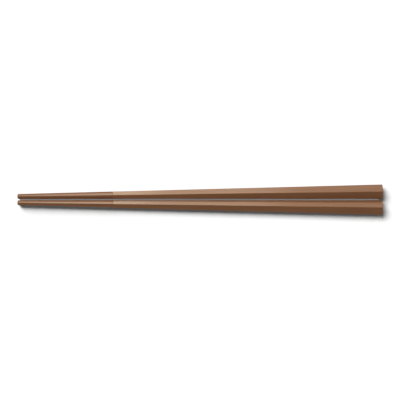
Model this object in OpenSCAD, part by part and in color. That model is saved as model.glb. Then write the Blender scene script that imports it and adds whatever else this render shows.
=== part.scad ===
// Pair of five-sided table chopsticks, lying side by side on a flat surface.
// Each stick is planed to a straight taper. Its grip has five wide flats. On its eating end a low ridge splits
// each of the five sides into two narrow flats.
// Lengths are in mm. X runs from the tips to the butt ends, Y from the near stick to the far one, Z is up.

/* [Stick] */

// Overall length of one stick
stick_length = 230; // [180:1:260]

// Width of the butt end from side corner to side corner, before the edges are eased
butt_width = 9.1; // [6:0.1:12]

// Width of the tip from side to side
tip_width = 3.1; // [2.2:0.1:4.4]

/* [Eating end] */

// Length of the ten-sided end, measured from the tip
eating_length = 60; // [30:1:90]

// Length of the slope where a grip flat drops away from the eating end
shoulder_length = 0.4; // [0.2:0.1:3]

// Angle by which the two flats on each side of the eating end lean apart
eating_bend = 24; // [10:1:36]

// Radius of the dome on the tip
tip_dome_radius = 4; // [2.4:0.1:8]

/* [Edges] */

// How far the sharp edges of the grip are planed down
grip_easing = 0.1; // [0.05:0.01:0.3]

// How far the sharp edges of the eating end are planed down
eating_easing = 0.02; // [0.01:0.005:0.04]

// Chamfer around the butt end
butt_chamfer = 0.3; // [0.1:0.05:0.8]

/* [Pair] */

// Clear distance between the two sticks
stick_gap = 0.9; // [0.3:0.1:8]

/* [Hidden] */

grip_sides = 5;
resin_brown = [0.54, 0.36, 0.22];

full_turn = 360;
quarter_turn = full_turn / 4;
down = full_turn / 2;
// Angle between two neighbouring flats of the grip
side_turn = full_turn / grip_sides;
half_side = side_turn / 2;
eating_lean = eating_bend / 2;

// With a flat straight down, the corners at the sides point up from level by this angle
side_corner_angle = half_side / 2;
butt_radius = butt_width / 2 / cos(side_corner_angle);
tip_radius = tip_width / 2 / cos(side_corner_angle);
grip_start = eating_length + shoulder_length;
// The long edges reach the grip's easing a little further along than the flats reach full depth
easing_end = grip_start + shoulder_length;
cut_margin = 1;
cut_reach = butt_radius + cut_margin;

// The stick lies on the lowest ridge of its eating end, at the shoulder, and on the butt end's lower flat
butt_contact = stick_length - butt_chamfer;
chamfer_run = butt_chamfer + cut_margin;
shoulder_drop = eating_ridge(eating_length);
butt_drop = grip_apothem(butt_contact);
rest_tilt = atan((butt_drop - shoulder_drop) / (butt_contact - eating_length));
rest_lift = shoulder_drop * cos(rest_tilt) - eating_length * sin(rest_tilt);

// The sticks close up towards the tips by this much each, so that their inner sides are parallel
inner_turn = atan((butt_width - tip_width) / 2 / stick_length);
side_offset = stick_gap / 2 + tip_width / 2 * cos(inner_turn);

$fa = 3;
$fs = 0.05;

// Distance from the axis to a sharp corner, at a place along the stick
function corner_radius(along) = tip_radius + (butt_radius - tip_radius) * along / stick_length;

// Distance from the axis to a flat of the grip
function grip_apothem(along) = corner_radius(along) * cos(half_side);

// Distance from the axis to a flat of the eating end
function eating_apothem(along) = corner_radius(along) * cos(half_side - eating_lean);

// Distance from the axis to an eased ridge between the two flats on one side of the eating end
function eating_ridge(along) = eating_apothem(along) / cos(eating_lean) - eating_easing;

// Distance from the axis to an eased edge of the eating end
function eating_edge(along) = corner_radius(along) - eating_easing;

// Distance from the axis to an eased edge of the grip
function grip_edge(along) = corner_radius(along) - grip_easing;

// Round bar along X that the stick is planed from, with its domed tip
module bar() {
    rotate([0, quarter_turn, 0])
        rotate_extrude()
            intersection() {
                square([butt_radius, stick_length]);
                union() {
                    translate([0, tip_dome_radius])
                        circle(r = tip_dome_radius);
                    translate([0, tip_dome_radius])
                        square([butt_radius, stick_length]);
                }
            }
}

// Planes away everything above a line along the stick, facing the given turn from straight up
module plane_cut(line, turn) {
    first = line[0];
    last = line[len(line) - 1];
    outline = concat(line, [[last[0], cut_reach], [first[0], cut_reach]]);
    rotate([turn, 0, 0])
        rotate([quarter_turn, 0, 0])
            linear_extrude(height = 2 * cut_reach, center = true)
                polygon(outline);
}

// The ten flats of the eating end, with a ridge between two of them straight down
module eating_flat_cuts() {
    line = [
        [-cut_margin, eating_apothem(-cut_margin)],
        [grip_start, eating_apothem(grip_start)]
    ];
    leans = [-eating_lean, eating_lean];
    turns = [for (side = [0 : grip_sides - 1]) for (lean = leans) down + side * side_turn + lean];
    for (turn = turns)
        plane_cut(line, turn);
}

// The five flats of the grip, one of them straight down, and the eased ridges that lead up to them
module grip_flat_cuts() {
    line = [
        [-cut_margin, eating_ridge(-cut_margin)],
        [eating_length, eating_ridge(eating_length)],
        [grip_start, grip_apothem(grip_start)],
        [butt_contact, grip_apothem(butt_contact)],
        [butt_contact + chamfer_run, grip_apothem(butt_contact) - chamfer_run]
    ];
    for (side = [0 : grip_sides - 1])
        plane_cut(line, down + side * side_turn);
}

// The five eased edges that run from the tip to the butt end between those flats
module long_edge_cuts() {
    line = [
        [-cut_margin, eating_edge(-cut_margin)],
        [eating_length, eating_edge(eating_length)],
        [easing_end, grip_edge(easing_end)],
        [butt_contact, grip_edge(butt_contact)],
        [butt_contact + chamfer_run, grip_edge(butt_contact) - chamfer_run]
    ];
    for (side = [0 : grip_sides - 1])
        plane_cut(line, down + half_side + side * side_turn);
}

// One stick on its own axis, tip at the origin
module stick() {
    difference() {
        bar();
        eating_flat_cuts();
        grip_flat_cuts();
        long_edge_cuts();
    }
}

// One stick as it lies in the pair: side is 1 for the far one and -1 for the near one
module laid_stick(side) {
    translate([-stick_length / 2, side * side_offset, rest_lift])
        rotate([0, 0, side * inner_turn])
            rotate([0, -rest_tilt, 0])
                stick();
}

module far_chopstick() {
    color(resin_brown)
        laid_stick(1);
}

module near_chopstick() {
    color(resin_brown)
        laid_stick(-1);
}

far_chopstick();
near_chopstick();
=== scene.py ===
"""Dresses a pair of five-sided brown resin chopsticks that lie side by side on a pale floor.

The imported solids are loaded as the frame. Each stick is then built again as a fine lofted mesh with
rounded edges, in the same place and of the same form, and gets a satin moulded-resin finish.
"""

from __future__ import annotations

import logging
import math
from abc import ABC, abstractmethod
from dataclasses import dataclass, field
from enum import Enum
from typing import Any, Sequence

import bmesh
import bpy
from mathutils import Euler, Matrix, Vector

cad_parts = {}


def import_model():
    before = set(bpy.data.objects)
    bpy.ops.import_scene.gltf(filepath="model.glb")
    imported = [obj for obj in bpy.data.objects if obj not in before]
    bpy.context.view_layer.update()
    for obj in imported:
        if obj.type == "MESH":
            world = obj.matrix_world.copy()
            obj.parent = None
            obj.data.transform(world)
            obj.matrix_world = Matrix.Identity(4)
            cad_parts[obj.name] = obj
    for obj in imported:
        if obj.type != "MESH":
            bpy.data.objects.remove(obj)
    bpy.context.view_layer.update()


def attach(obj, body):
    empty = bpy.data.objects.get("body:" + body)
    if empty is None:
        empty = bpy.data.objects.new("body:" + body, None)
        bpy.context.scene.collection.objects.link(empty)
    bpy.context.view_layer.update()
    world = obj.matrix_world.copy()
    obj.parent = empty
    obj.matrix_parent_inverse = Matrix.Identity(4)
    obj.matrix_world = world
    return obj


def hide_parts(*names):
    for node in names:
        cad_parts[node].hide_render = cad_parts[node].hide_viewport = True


LOG = logging.getLogger("chopsticks")
MM = 0.001

Point2 = tuple[float, float]
Triple = tuple[float, float, float]
Colour = Triple

ORIGIN: Triple = (0.0, 0.0, 0.0)
WHITE: Colour = (1.0, 1.0, 1.0)
OPAQUE = 1.0

# Name under which each point of a stick keeps its place on the stick's own axes
STICK_PLACE = "stick_place"
# How far the near stick's streaks lie from the far one's on their endless pattern, in metres
NEAR_STREAK_SHIFT: Triple = (0.41, 0.13, 0.27)
# Middle of the values that a noise texture gives
NOISE_MIDDLE = 0.5
# Light that the wide floor and its strips get from their suns, in watts a square metre
FLOOR_LEVEL = 9.9


def smooth_step(low: float, high: float, value: float) -> float:
    """Ease from 0 at low to 1 at high.

    Args:
        low: Place where the ease starts.
        high: Place where the ease ends.
        value: Place to look up.

    Returns:
        A share from 0 to 1.
    """
    share = min(1.0, max(0.0, (value - low) / (high - low)))
    return share * share * (3.0 - 2.0 * share)


def spread(low: float, high: float, count: int) -> list[float]:
    """Space numbers evenly.

    Args:
        low: First number.
        high: Last number.
        count: How many numbers, both ends included.

    Returns:
        The numbers in rising order.
    """
    return [low + (high - low) * i / (count - 1) for i in range(count)]


class Signal:
    """A value socket that can be used in Python expressions."""

    def __init__(self, bench: ShaderBench, socket: bpy.types.NodeSocket | None) -> None:
        """Keep the bench that adds nodes and the socket that carries the value."""
        self.bench = bench
        self.socket = socket

    def _math(self, operation: str, *values: float | Signal) -> Signal:
        """Add a Math node.

        Args:
            operation: The node's operation.
            values: Numbers or signals for its sockets, in order.

        Returns:
            The node's result.
        """
        return self.bench.node(
            "ShaderNodeMath", {"operation": operation}, dict(enumerate(values))
        )

    def __add__(self, other: float | Signal) -> Signal:
        """Add a number or signal."""
        return self._math("ADD", self, other)

    def __radd__(self, other: float) -> Signal:
        """Add to a number."""
        return self._math("ADD", other, self)

    def __sub__(self, other: float | Signal) -> Signal:
        """Take away a number or signal."""
        return self._math("SUBTRACT", self, other)

    def __rsub__(self, other: float) -> Signal:
        """Take this away from a number."""
        return self._math("SUBTRACT", other, self)

    def __mul__(self, other: float | Signal) -> Signal:
        """Multiply by a number or signal."""
        return self._math("MULTIPLY", self, other)

    def __rmul__(self, other: float) -> Signal:
        """Multiply a number."""
        return self._math("MULTIPLY", other, self)

    def higher(self, other: float | Signal) -> Signal:
        """Take the higher of this and a number or signal."""
        return self._math("MAXIMUM", self, other)


class Blend(Enum):
    """How a Mix node puts two colours together."""

    MIX = "MIX"
    MULTIPLY = "MULTIPLY"


@dataclass(frozen=True)
class NoiseLayer:
    """One layer of noise in a finish.

    Attributes:
        scale: Cells a metre.
        detail: Octaves of finer noise.
        fineness: How strong the finer octaves are.
    """

    scale: float
    detail: float
    fineness: float = 0.5


class ShaderBench:
    """Adds nodes to the tree of one material or world."""

    # The colour sockets of a Mix node share their names with its other sockets, so they go by number
    MIX_SHARE = 0
    MIX_FIRST = 6
    MIX_SECOND = 7
    MIX_RESULT = 2

    def __init__(self, owner: bpy.types.Material | bpy.types.World) -> None:
        """Give a material or world an empty node tree."""
        owner.use_nodes = True
        self.tree = owner.node_tree
        self.tree.nodes.clear()

    def node(
        self,
        kind: str,
        settings: dict[str, Any] | None = None,
        sockets: dict[int | str, Any] | None = None,
        out: int | str = 0,
    ) -> Signal:
        """Add any node.

        Args:
            kind: The node's type.
            settings: Its own settings, set first. The stops of a ramp are given as "stops".
            sockets: Input names or numbers, each with a value or a Signal to link.
            out: Name or number of the output to hand back.

        Returns:
            The chosen output, or a Signal without a socket for a node that has no output.
        """
        made = self.tree.nodes.new(kind)
        for name, value in (settings or {}).items():
            if name == "stops":
                self._set_stops(made.color_ramp, value)
            else:
                setattr(made, name, value)
        for name, value in (sockets or {}).items():
            if isinstance(value, Signal):
                self.tree.links.new(value.socket, made.inputs[name])
            else:
                made.inputs[name].default_value = value
        return Signal(self, made.outputs[out] if made.outputs else None)

    @staticmethod
    def _set_stops(ramp: bpy.types.ColorRamp, stops: Sequence[tuple[float, Colour]]) -> None:
        """Write a ramp's stops.

        Args:
            ramp: The ramp to fill.
            stops: Places from 0 to 1, each with its colour.
        """
        while len(ramp.elements) < len(stops):
            ramp.elements.new(1.0)
        for element, (place, colour) in zip(ramp.elements, stops):
            element.position = place
            element.color = (*colour, OPAQUE)

    @staticmethod
    def rgba(colour: Colour | Signal) -> tuple[float, ...] | Signal:
        """Give a plain colour the fourth number that a socket wants."""
        return colour if isinstance(colour, Signal) else (*colour, OPAQUE)

    def mix_colour(
        self,
        share: float | Signal,
        first: Colour | Signal,
        second: Colour | Signal,
        blend: Blend = Blend.MIX,
    ) -> Signal:
        """Put two colours together.

        Args:
            share: 0 for the first colour alone and 1 for the full effect of the second.
            first: The first colour.
            second: The second colour.
            blend: How they are put together.

        Returns:
            The mixed colour.
        """
        return self.node(
            "ShaderNodeMix",
            {"data_type": "RGBA", "blend_type": blend.value},
            {
                self.MIX_SHARE: share,
                self.MIX_FIRST: self.rgba(first),
                self.MIX_SECOND: self.rgba(second),
            },
            out=self.MIX_RESULT,
        )

    def noise(self, place: Signal, layer: NoiseLayer) -> Signal:
        """Add a noise texture.

        Args:
            place: Where to read the noise.
            layer: Its scale and detail.

        Returns:
            Values around the noise's middle.
        """
        return self.node(
            "ShaderNodeTexNoise",
            {"noise_dimensions": "3D"},
            {
                "Vector": place,
                "Scale": layer.scale,
                "Detail": layer.detail,
                "Roughness": layer.fineness,
            },
        )

    def stretched(self, place: Signal, stretch: Triple, shift: Triple) -> Signal:
        """Scale and move a place before a texture reads it.

        Args:
            place: The place to change.
            stretch: Factor for each axis.
            shift: Distance to add on each axis.

        Returns:
            The changed place.
        """
        return self.node(
            "ShaderNodeMapping",
            {"vector_type": "POINT"},
            {"Vector": place, "Scale": stretch, "Location": shift},
        )


@dataclass(frozen=True)
class ResinFinish:
    """Satin brown moulded resin with faint flow streaks and a fine moulded grain.

    Attributes:
        brown: The resin's middle colour.
        streak_dark: Its colour in the darkest streaks.
        streak_pale: Its colour in the palest streaks.
        dark_stop: Shade at which a streak is darkest.
        brown_stop: Shade that has the middle colour.
        pale_stop: Shade at which a streak is palest.
        eating_painted_shade: Factor that darkens the eating end's brown, a painted shade that makes up
            for the white floor mirrored in its flats.
        streaks: Flow streaks along the stick.
        streak_stretch: Factor on the place that draws the streaks out along the stick.
        clouds: Broad uneven patches.
        cloud_stretch: Factor on the place that draws the patches out along the stick.
        specks: Fine grain, the same in all directions.
        streak_shade: Weight of the streaks in the colour.
        cloud_shade: Weight of the patches in the colour.
        speck_shade: Weight of the grain in the colour.
        roughness: Roughness of the satin surface.
        roughness_swing: How far the roughness varies.
        cloud_gloss: Weight of the patches in the roughness.
        speck_gloss: Weight of the grain in the roughness.
        grain_height: Height of the grain, in metres.
        grain_strength: How much of that height the surface shows.
        streak_height: Weight of the streaks in the height.
        speck_height: Weight of the grain in the height.
        sheen_level: Strength of the reflections.
        sheen_tint: Colour of the reflections.
    """

    brown: Colour = (0.278, 0.114, 0.046)
    streak_dark: Colour = (0.243, 0.094, 0.035)
    streak_pale: Colour = (0.315, 0.132, 0.056)
    dark_stop: float = 0.32
    brown_stop: float = 0.5
    pale_stop: float = 0.68
    eating_painted_shade: Colour = (0.86, 0.81, 0.78)
    streaks: NoiseLayer = NoiseLayer(scale=900.0, detail=3.0, fineness=0.6)
    streak_stretch: Triple = (0.03, 1.0, 1.0)
    clouds: NoiseLayer = NoiseLayer(scale=140.0, detail=2.0)
    cloud_stretch: Triple = (0.25, 1.0, 1.0)
    specks: NoiseLayer = NoiseLayer(scale=2600.0, detail=1.0)
    streak_shade: float = 0.55
    cloud_shade: float = 0.3
    speck_shade: float = 0.15
    roughness: float = 0.22
    roughness_swing: float = 0.10
    cloud_gloss: float = 0.5
    speck_gloss: float = 0.5
    grain_height: float = 0.00002
    grain_strength: float = 0.12
    streak_height: float = 0.3
    speck_height: float = 0.7
    sheen_level: float = 0.40
    sheen_tint: Colour = (1.0, 0.96, 0.77)

    def material(self, name: str, shift: Triple, shoulder: Point2) -> bpy.types.Material:
        """Make the material.

        Args:
            name: The material's name.
            shift: Where on the endless streak pattern this piece lies, in metres.
            shoulder: Places along the stick where the eating end stops and the grip starts, in metres.

        Returns:
            The finished material.
        """
        made = bpy.data.materials.new(name)
        bench = ShaderBench(made)
        place = bench.node("ShaderNodeAttribute", {"attribute_name": STICK_PLACE}, out="Vector")
        streaks = bench.noise(bench.stretched(place, self.streak_stretch, shift), self.streaks)
        clouds = bench.noise(bench.stretched(place, self.cloud_stretch, shift), self.clouds)
        specks = bench.noise(place, self.specks)
        shade = self.streak_shade * streaks + self.cloud_shade * clouds + self.speck_shade * specks
        gloss = self.cloud_gloss * clouds + self.speck_gloss * specks - NOISE_MIDDLE
        bump = bench.node(
            "ShaderNodeBump",
            None,
            {
                "Strength": self.grain_strength,
                "Distance": self.grain_height,
                "Height": self.speck_height * specks + self.streak_height * streaks,
            },
        )
        shader = bench.node(
            "ShaderNodeBsdfPrincipled",
            None,
            {
                "Base Color": self._colour(bench, place, shade, shoulder),
                "Roughness": self.roughness + self.roughness_swing * gloss,
                "Normal": bump,
                "Specular IOR Level": self.sheen_level,
                "Specular Tint": bench.rgba(self.sheen_tint),
            },
        )
        bench.node("ShaderNodeOutputMaterial", None, {"Surface": shader})
        return made

    def _colour(self, bench: ShaderBench, place: Signal, shade: Signal, shoulder: Point2) -> Signal:
        """Colour the resin by its streaks, with a painted shade that darkens the eating end.

        Args:
            bench: The bench of the resin's material.
            place: Place on the stick's own axes.
            shade: How pale the resin is, around the noise's middle.
            shoulder: Places along the stick where the eating end stops and the grip starts, in metres.

        Returns:
            The resin's colour.
        """
        stops = [
            (self.dark_stop, self.streak_dark),
            (self.brown_stop, self.brown),
            (self.pale_stop, self.streak_pale),
        ]
        streaked = bench.node("ShaderNodeValToRGB", {"stops": stops}, {0: shade})
        along = bench.node("ShaderNodeSeparateXYZ", None, {0: place}, out="X")
        eating_end, grip_start = shoulder
        on_grip = bench.node(
            "ShaderNodeMapRange",
            {"interpolation_type": "SMOOTHSTEP"},
            {"Value": along, "From Min": eating_end, "From Max": grip_start},
        )
        # Painted shade: the eating end's brown is darkened to make up for the white floor mirrored in
        # its flats, and fades out over the shoulder.
        painted_shade = bench.mix_colour(on_grip, self.eating_painted_shade, WHITE)
        return bench.mix_colour(1.0, streaked, painted_shade, Blend.MULTIPLY)


@dataclass(frozen=True)
class FloorFinish:
    """Plain white floor that keeps the shadow.

    Attributes:
        seen: Its grey to the camera and in reflections, which its suns raise to white.
        lighting: Its grey to the light that it throws back on the sticks.
        seen_by: The kinds of ray that see it as white.
    """

    seen: float = 0.3
    lighting: float = 0.1
    seen_by: tuple[str, ...] = ("Is Camera Ray", "Is Glossy Ray", "Is Transmission Ray")

    def material(self, name: str) -> bpy.types.Material:
        """Make the floor's material.

        Args:
            name: The material's name.

        Returns:
            A matt white that reads as white to the camera and as pale grey to the light it bounces.
        """
        made = bpy.data.materials.new(name)
        bench = ShaderBench(made)
        first, *others = [bench.node("ShaderNodeLightPath", out=ray) for ray in self.seen_by]
        watched = first
        for other in others:
            watched = watched.higher(other)
        white = bench.mix_colour(watched, self._grey(self.lighting), self._grey(self.seen))
        shader = bench.node("ShaderNodeBsdfDiffuse", None, {"Color": white})
        bench.node("ShaderNodeOutputMaterial", None, {"Surface": shader})
        return made

    @staticmethod
    def _grey(level: float) -> Colour:
        """A colour without a hue."""
        return (level, level, level)


class Side(Enum):
    """Which of the two sticks, and the sign of its place across the pair."""

    FAR = 1
    NEAR = -1


@dataclass(frozen=True)
class StickForm:
    """The form of one stick, with its tip at the origin, its axis along X and a long edge straight up.

    Lengths are in millimetres.

    Attributes:
        length: From the tip to the butt end.
        butt_width: Across the butt end from side corner to side corner, if they were sharp.
        tip_width: The same at the tip.
        eating_length: From the tip to the shoulder.
        shoulder_length: Slope where a grip flat drops away from the eating end.
        tip_dome_radius: Radius of the dome on the tip.
        dome_sharpness: How tightly the rim of the dome is rounded. More is tighter.
        dome_blend: How far out the dome's own outlines go, as a share of the tip's corner radius.
        grip_easing: How far the long edges of the grip are rounded down.
        eating_easing: How far the long edges and the ridges of the eating end are rounded down.
        eating_bend: Angle by which the two flats on each side of the eating end lean apart, in degrees.
        butt_round: Radius of the rounding around the butt end.
        gap: Clear distance between the two sticks.
        grip_sides: Number of flats on the grip.
        arc_steps: Number of faces across a rounded edge.
        dome_outlines: Number of outlines along the dome.
        eating_start: Place of the first outline past the dome.
        eating_outlines: Number of outlines along the eating end.
        shoulder_outlines: Number of outlines along the shoulder.
        grip_outlines: Number of outlines along the grip.
        butt_outlines: Number of outlines along the rounding of the butt end.
    """

    length: float = 230.0
    butt_width: float = 9.1
    tip_width: float = 3.1
    eating_length: float = 60.0
    shoulder_length: float = 0.4
    tip_dome_radius: float = 4.0
    dome_sharpness: float = 14.0
    dome_blend: float = 1.4
    grip_easing: float = 0.05
    eating_easing: float = 0.02
    eating_bend: float = 24.0
    butt_round: float = 0.3
    gap: float = 0.9
    grip_sides: int = 5
    arc_steps: int = 6
    dome_outlines: int = 22
    eating_start: float = 1.0
    eating_outlines: int = 30
    shoulder_outlines: int = 13
    grip_outlines: int = 42
    butt_outlines: int = 7

    @property
    def half_side(self) -> float:
        """Half of the angle between two neighbouring long edges."""
        return math.pi / self.grip_sides

    @property
    def lean(self) -> float:
        """Angle by which each flat of the eating end leans from the side that it splits."""
        return math.radians(self.eating_bend) / 2.0

    @property
    def ridge_share(self) -> float:
        """Reach of the eating end's low ridges, as a share of the corner radius."""
        return math.cos(self.half_side - self.lean) / math.cos(self.lean)

    @property
    def grip_start(self) -> float:
        """Place along the stick where the grip's flats are at full depth."""
        return self.eating_length + self.shoulder_length

    @property
    def easing_end(self) -> float:
        """Place along the stick where the long edges are as round as on the grip."""
        return self.grip_start + self.shoulder_length

    @property
    def butt_start(self) -> float:
        """Place along the stick where the rounding of the butt end starts."""
        return self.length - self.butt_round

    @property
    def shoulder_drop(self) -> float:
        """Distance from the axis down to the low ridge on which the stick rests at the shoulder."""
        return self.corner_radius(self.eating_length) * self.ridge_share - self.eating_easing

    @property
    def tilt(self) -> float:
        """Angle by which the axis of a lying stick rises towards the butt end."""
        rise = self.grip_apothem(self.butt_start) - self.shoulder_drop
        return math.atan(rise / (self.butt_start - self.eating_length))

    @property
    def lift(self) -> float:
        """Height of the axis of a lying stick at its tip."""
        return self.shoulder_drop * math.cos(self.tilt) - self.eating_length * math.sin(self.tilt)

    def radius_for(self, width: float) -> float:
        """Distance from the axis to a sharp corner where the stick is that wide."""
        return width / 2.0 / math.cos(self.half_side / 2.0)

    def corner_radius(self, along: float) -> float:
        """Distance from the axis to a sharp corner at a place along the stick."""
        tip = self.radius_for(self.tip_width)
        butt = self.radius_for(self.butt_width)
        return tip + (butt - tip) * along / self.length

    def grip_apothem(self, along: float) -> float:
        """Distance from the axis to a flat of the grip at a place along the stick."""
        return self.corner_radius(along) * math.cos(self.half_side)

    def edge_height(self, along: float) -> float:
        """Height of the side edges of a lying stick at a place along it."""
        above_axis = self.corner_radius(along) * math.sin(self.half_side / 2.0)
        return self.lift + along * math.sin(self.tilt) + above_axis

    def lying(self, side: Side) -> Matrix:
        """Where a stick lies in the pair.

        Args:
            side: Which stick.

        Returns:
            The matrix from the stick's own axes to the frame.
        """
        turn = math.atan((self.butt_width - self.tip_width) / 2.0 / self.length)
        offset = self.gap / 2.0 + self.tip_width / 2.0 * math.cos(turn)
        place = Vector((-self.length / 2.0, side.value * offset, self.lift)) * MM
        return Matrix.LocRotScale(place, Euler((0.0, -self.tilt, side.value * turn)), None)

    def rings(self) -> list[list[Vector]]:
        """All outlines as points in space, from the tip to the butt end.

        Returns:
            One list of points, in metres, for each station.
        """
        made = []
        for along, taken_in in self.stations():
            shrink = 1.0 - taken_in / self.grip_apothem(along)
            dome = self._dome_radius(along)
            ring = []
            for across, up in self.section(along):
                reach = math.hypot(across, up)
                kept = self._softer_lower(reach, dome) / reach * shrink
                ring.append(Vector((along, across * kept, up * kept)) * MM)
            made.append(ring)
        return made

    def stations(self) -> list[Point2]:
        """Places along the stick that get an outline.

        Returns:
            Pairs of the place along the stick and how far the butt's rounding takes the outline in.
        """
        dome_rim = self.dome_blend * self.radius_for(self.tip_width)
        dome_turns = spread(0.0, math.asin(dome_rim / self.tip_dome_radius), self.dome_outlines)
        dome = [self.tip_dome_radius * (1.0 - math.cos(turn)) for turn in dome_turns[1:]]
        eating = spread(self.eating_start, self.eating_length, self.eating_outlines)
        shoulder = spread(self.eating_length, self.easing_end, self.shoulder_outlines)[1:]
        grip = spread(self.easing_end, self.butt_start, self.grip_outlines)[1:]
        places = [(place, 0.0) for place in (*dome, *eating, *shoulder, *grip)]
        for turn in spread(0.0, math.pi / 2.0, self.butt_outlines)[1:]:
            place = self.butt_start + self.butt_round * math.sin(turn)
            taken_in = self.butt_round * (1.0 - math.cos(turn))
            places.append((place, taken_in))
        return places

    def section(self, along: float) -> list[Point2]:
        """Outline of the stick across its axis.

        Args:
            along: Place along the stick.

        Returns:
            Points round the outline, starting at the top edge, as (across, up).
        """
        edge_reach = self.corner_radius(along)
        flat_share = math.cos(self.half_side)
        crown = 1.0 - smooth_step(self.eating_length, self.grip_start, along)
        ridge_reach = edge_reach * (flat_share + (self.ridge_share - flat_share) * crown)
        eased = smooth_step(self.eating_length, self.easing_end, along)
        eating_set = self.setback(self.eating_easing, 2.0 * (self.half_side - self.lean))
        grip_set = self.setback(self.grip_easing, 2.0 * self.half_side)
        edge_set = eating_set + (grip_set - eating_set) * eased
        ridge_set = self.setback(self.eating_easing, 2.0 * self.lean)
        corners = []
        setbacks = []
        for step in range(2 * self.grip_sides):
            turn = math.pi / 2.0 + step * self.half_side
            on_edge = step % 2 == 0
            reach = edge_reach if on_edge else ridge_reach
            corners.append(Vector((math.cos(turn), math.sin(turn))) * reach)
            setbacks.append(edge_set if on_edge else ridge_set)
        outline: list[Point2] = []
        following = corners[1:] + corners[:1]
        for step, (corner, after) in enumerate(zip(corners, following)):
            outline += self._rounded(corners[step - 1], corner, after, setbacks[step])
        return outline

    @staticmethod
    def setback(easing: float, turn: float) -> float:
        """Length that a rounded edge takes from each flat beside it.

        Args:
            easing: How far the sharp edge is taken down.
            turn: Angle between the two flats' normals.

        Returns:
            The distance from the sharp edge to where each flat starts to round.
        """
        radius = easing / (1.0 / math.cos(turn / 2.0) - 1.0)
        return radius * math.tan(turn / 2.0)

    def _rounded(self, before: Vector, corner: Vector, after: Vector, setback: float) -> list[Point2]:
        """Round one corner with a true arc.

        Args:
            before: The corner before it.
            corner: The corner to round.
            after: The corner after it.
            setback: Distance from the corner to each end of the arc.

        Returns:
            Points along the arc.
        """
        first = corner + (before - corner).normalized() * setback
        last = corner + (after - corner).normalized() * setback
        half_turn = (corner - before).angle(after - corner) / 2.0
        points = []
        for share in spread(0.0, 1.0, self.arc_steps + 1):
            first_pull = (1.0 - share) ** 2
            corner_pull = 2.0 * share * (1.0 - share) * math.cos(half_turn)
            last_pull = share**2
            pulled = first * first_pull + corner * corner_pull + last * last_pull
            point = pulled / (first_pull + corner_pull + last_pull)
            points.append((point.x, point.y))
        return points

    def _dome_radius(self, along: float) -> float:
        """Radius of the tip's dome at a place along the stick."""
        from_centre = max(0.0, self.tip_dome_radius - along)
        return math.sqrt(max(0.0, self.tip_dome_radius**2 - from_centre**2))

    def _softer_lower(self, reach: float, dome: float) -> float:
        """The lower of two radii, with the edge between them rounded off."""
        if dome >= self.tip_dome_radius:
            return reach
        power = -self.dome_sharpness
        return (reach**power + dome**power) ** (1.0 / power)


@dataclass
class Chopstick:
    """One stick of the pair.

    Attributes:
        side: Which stick.
        form: Its form and sizes.
        finish: What it is made of.
        node: The solid that it stands for.
        streak_shift: Where on the endless streak pattern it lies, in metres.
        slot: The record's slot for its material.
        piece: Its object, once it is built.
    """

    side: Side
    form: StickForm
    finish: ResinFinish
    node: str
    streak_shift: Triple
    slot: str = "brown_resin"
    piece: bpy.types.Object | None = field(default=None, init=False)

    def build(self) -> bpy.types.Object:
        """Loft the stick's mesh through its outlines and lay it in the pair.

        Returns:
            The new object.
        """
        shape = bmesh.new()
        rings = [[shape.verts.new(point) for point in ring] for ring in self.form.rings()]
        for before, after in zip(rings, rings[1:]):
            for here in range(len(before)):
                there = (here + 1) % len(before)
                shape.faces.new((before[here], after[here], after[there], before[there]))
        shape.faces.new(rings[0])
        shape.faces.new(list(reversed(rings[-1])))
        bmesh.ops.recalc_face_normals(shape, faces=shape.faces)
        for face in shape.faces:
            face.smooth = True
        name = f"{self.node}_dressed"
        mesh = bpy.data.meshes.new(name)
        shape.to_mesh(mesh)
        shape.free()
        places = mesh.attributes.new(STICK_PLACE, "FLOAT_VECTOR", "POINT")
        for vertex, place in zip(mesh.vertices, places.data):
            place.vector = vertex.co
        mesh.transform(self.form.lying(self.side))
        self.piece = bpy.data.objects.new(name, mesh)
        bpy.context.scene.collection.objects.link(self.piece)
        even = self.piece.modifiers.new("even_shading", "WEIGHTED_NORMAL")
        even.keep_sharp = True
        return self.piece

    def dress(self) -> None:
        """Give the stick its finish and set it in place of its solid."""
        name = f"{self.slot}_{self.side.name.lower()}"
        shoulder = (self.form.eating_length * MM, self.form.grip_start * MM)
        self.piece.data.materials.append(self.finish.material(name, self.streak_shift, shoulder))
        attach(self.piece, "root")
        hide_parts(self.node)
        LOG.info("%s: %d faces", self.piece.name, len(self.piece.data.polygons))


class Lit(Enum):
    """What a lamp shines on."""

    STICKS = "sticks"
    FLOOR = "floor"
    GAP = "floor in the gap"


@dataclass(frozen=True)
class Lamp(ABC):
    """A lamp that is aimed at a point and flagged off from all but what it shines on.

    Attributes:
        name: The lamp's name.
        lit: What it shines on.
        place: Where it stands, in metres.
        aim: The point that it looks at, in metres.
    """

    name: str
    lit: Lit
    place: Triple
    aim: Triple

    @property
    def toward(self) -> Vector:
        """The way from the lamp to the point that it looks at."""
        return Vector(self.aim) - Vector(self.place)

    @abstractmethod
    def light(self) -> bpy.types.Light:
        """Make the lamp's light, which each kind of lamp has its own way to do."""

    def build(self, receivers: Sequence[bpy.types.Object]) -> bpy.types.Object:
        """Add the lamp to the scene.

        Args:
            receivers: The objects that the lamp shines on.

        Returns:
            The lamp's object.
        """
        lamp = bpy.data.objects.new(self.name, self.light())
        lamp.location = self.place
        lamp.rotation_euler = self.toward.to_track_quat("-Z", "Y").to_euler()
        bpy.context.scene.collection.objects.link(lamp)
        shone_on = bpy.data.collections.new(f"{self.name}_shines_on")
        for receiver in receivers:
            shone_on.objects.link(receiver)
        lamp.light_linking.receiver_collection = shone_on
        LOG.info("%s: shines on the %s", self.name, self.lit.value)
        return lamp


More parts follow.
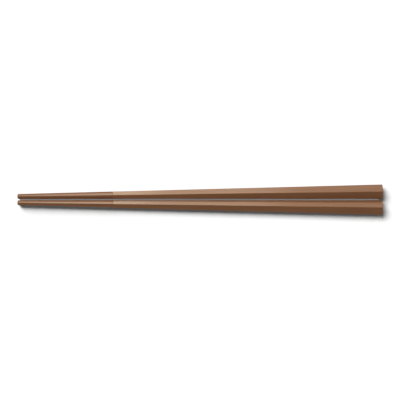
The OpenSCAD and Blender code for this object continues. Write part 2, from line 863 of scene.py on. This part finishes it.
@dataclass(frozen=True)
class Softbox(Lamp):
    """A flat panel that glows evenly.

    Attributes:
        width: Its size from side to side, in metres.
        height: Its other size, in metres.
        power: Its light, in watts.
    """

    width: float
    height: float
    power: float

    def light(self) -> bpy.types.Light:
        """Make the panel's light.

        Returns:
            An area light of the panel's size.
        """
        made = bpy.data.lights.new(self.name, "AREA")
        made.shape = "RECTANGLE"
        made.size = self.width
        made.size_y = self.height
        made.energy = self.power
        return made


@dataclass(frozen=True)
class Sun(Lamp):
    """A distant lamp that lights a floor evenly.

    Attributes:
        softness: How many degrees across it looks.
        level: Light that it gives a flat floor, in watts a square metre.
    """

    softness: float
    level: float

    def light(self) -> bpy.types.Light:
        """Make the distant light.

        Returns:
            A sun that makes up for its slant, so that a flat floor gets its level.
        """
        made = bpy.data.lights.new(self.name, "SUN")
        made.angle = math.radians(self.softness)
        made.energy = self.level * self.toward.length / abs(self.toward.z)
        return made


@dataclass(frozen=True)
class FloorSheet:
    """A flat white sheet that lies just under the sticks, in metres.

    Attributes:
        name: The sheet's name.
        length: Its size along the sticks.
        width: Its size across them.
        drop: How far it lies below them.
        middle: Place of its middle along the sticks.
    """

    name: str
    length: float
    width: float
    drop: float
    middle: float = 0.0

    def build(self, white: bpy.types.Material) -> bpy.types.Object:
        """Lay the sheet.

        Args:
            white: The floor's material.

        Returns:
            The sheet's object.
        """
        x = self.length / 2.0
        y = self.width / 2.0
        corners = [(-x, -y, 0.0), (x, -y, 0.0), (x, y, 0.0), (-x, y, 0.0)]
        mesh = bpy.data.meshes.new(self.name)
        mesh.from_pydata(corners, [], [range(len(corners))])
        mesh.materials.append(white)
        sheet = bpy.data.objects.new(self.name, mesh)
        sheet.location = (self.middle, 0.0, -self.drop)
        bpy.context.scene.collection.objects.link(sheet)
        LOG.info("%s: %.3f m by %.4f m", self.name, self.length, self.width)
        return sheet


@dataclass(frozen=True)
class ShadowFloor:
    """Strips of floor that lie across under the sticks, each with a sun of its own.

    A sun stands lower where the sticks are thinner, so their shadow is equally wide all along.

    Attributes:
        form: The form of a stick.
        count: Number of strips.
        length: Size of a strip along the sticks, in metres.
        width: Size of a strip across them, in metres.
        drop: How far the strips lie below them, in metres.
        reach: How far the middle of the shadow's edge lies to the right and to the front, in metres.
        softness: How many degrees across each sun looks.
    """

    form: StickForm
    count: int = 26
    length: float = 0.01
    width: float = 0.08
    drop: float = 0.00003
    reach: Point2 = (0.0029, 0.0031)
    softness: float = 38.0

    def build(self, white: bpy.types.Material) -> None:
        """Lay the strips and hang their suns.

        Args:
            white: The floor's material.
        """
        half_run = self.length * (self.count - 1) / 2.0
        for number, middle in enumerate(spread(-half_run, half_run, self.count)):
            strip = FloorSheet(f"floor_strip_{number}", self.length, self.width, self.drop, middle)
            sun = Sun(
                name=f"strip_sun_{number}",
                lit=Lit.FLOOR,
                place=self._sun_place(middle),
                aim=ORIGIN,
                softness=self.softness,
                level=FLOOR_LEVEL,
            )
            sun.build([strip.build(white)])

    def _sun_place(self, middle: float) -> Triple:
        """Place of a strip's sun.

        Args:
            middle: Place of the strip's middle along the sticks, in metres.

        Returns:
            A point a metre up, from which a side edge throws its shadow by the chosen reach.
        """
        from_tip = middle / MM + self.form.length / 2.0
        along = min(self.form.length, max(0.0, from_tip))
        height = self.form.edge_height(along) * MM
        to_right, to_front = self.reach
        return (-to_right / height, to_front / height, 1.0)


@dataclass(frozen=True)
class Studio:
    """Floor, lamps, sky and camera, in metres.

    Attributes:
        shadow_floor: The strips of floor under the sticks.
        floor: The wide floor around them.
        gap_slip: The floor that shows between the sticks.
        floor_finish: What the floor is made of.
        sky: Strength of the even light from all around.
        lens: Focal length of the camera, in millimetres.
        sensor: Width of the camera's sensor, in millimetres.
        camera_place: Where the camera hangs.
        lamps: All lamps but the suns of the strips.
    """

    shadow_floor: ShadowFloor
    floor: FloorSheet = FloorSheet("floor", length=40.0, width=40.0, drop=0.00004)
    gap_slip: FloorSheet = FloorSheet("gap_slip", length=0.227, width=0.0014, drop=0.00002)
    floor_finish: FloorFinish = FloorFinish()
    sky: float = 0.43
    lens: float = 100.0
    sensor: float = 36.0
    camera_place: Triple = (0.00028, -0.00025, 0.7034)
    lamps: tuple[Lamp, ...] = (
        Softbox(
            name="key_softbox",
            lit=Lit.STICKS,
            place=(-0.12, 0.305, 0.322),
            aim=(-0.06, 0.0, 0.0),
            width=0.2,
            height=0.12,
            power=0.69,
        ),
        Softbox(
            name="back_panel",
            lit=Lit.STICKS,
            place=(0.07, 0.55, 0.185),
            aim=(0.04, 0.0, 0.0),
            width=0.56,
            height=0.1,
            power=0.46,
        ),
        Softbox(
            name="back_softbox",
            lit=Lit.STICKS,
            place=(-0.083, 0.285, 0.103),
            aim=(-0.05, 0.0, 0.003),
            width=0.06,
            height=0.07,
            power=0.108,
        ),
        Softbox(
            name="side_softbox",
            lit=Lit.STICKS,
            place=(0.008, 0.285, 0.1),
            aim=(0.008, 0.0, 0.003),
            width=0.106,
            height=0.07,
            power=0.069,
        ),
        Sun(
            name="floor_sun",
            lit=Lit.FLOOR,
            place=(-0.58, 0.74, 1.0),
            aim=ORIGIN,
            softness=35.0,
            level=FLOOR_LEVEL,
        ),
        Sun(
            name="gap_sun",
            lit=Lit.GAP,
            place=(0.0, 0.0, 1.0),
            aim=ORIGIN,
            softness=4.0,
            level=1.85,
        ),
    )

    def build(self, sticks: Sequence[bpy.types.Object]) -> None:
        """Add everything that isn't part of the object.

        Args:
            sticks: The dressed sticks.
        """
        white = self.floor_finish.material("white_floor")
        floor = self.floor.build(white)
        gap = self.gap_slip.build(white)
        self.shadow_floor.build(white)
        self._light_sky()
        receivers = {Lit.STICKS: sticks, Lit.FLOOR: [floor, gap], Lit.GAP: [gap]}
        for lamp in self.lamps:
            lamp.build(receivers[lamp.lit])
        self._set_camera()
        bpy.context.scene.view_settings.view_transform = "Standard"

    def _light_sky(self) -> None:
        """Fill the room with an even pale light."""
        world = bpy.data.worlds.new("studio")
        bench = ShaderBench(world)
        sky = bench.node(
            "ShaderNodeBackground", None, {"Color": bench.rgba(WHITE), "Strength": self.sky}
        )
        bench.node("ShaderNodeOutputWorld", None, {"Surface": sky})
        bpy.context.scene.world = world

    def _set_camera(self) -> None:
        """Hang the camera over the pair, looking straight down with the far stick up."""
        data = bpy.data.cameras.new("camera")
        data.lens = self.lens
        data.sensor_width = self.sensor
        data.dof.use_dof = False
        camera = bpy.data.objects.new("camera", data)
        camera.location = self.camera_place
        bpy.context.scene.collection.objects.link(camera)
        bpy.context.scene.camera = camera


def main() -> None:
    """Load the solids, dress both sticks and set up the studio."""
    logging.basicConfig(level=logging.INFO, format="%(name)s %(message)s")
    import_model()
    form = StickForm()
    finish = ResinFinish()
    sticks = (
        Chopstick(Side.FAR, form, finish, "far_chopstick", ORIGIN),
        Chopstick(Side.NEAR, form, finish, "near_chopstick", NEAR_STREAK_SHIFT),
    )
    for stick in sticks:
        stick.build()
        stick.dress()
    Studio(ShadowFloor(form)).build([stick.piece for stick in sticks])


if __name__ == "__main__":
    main()
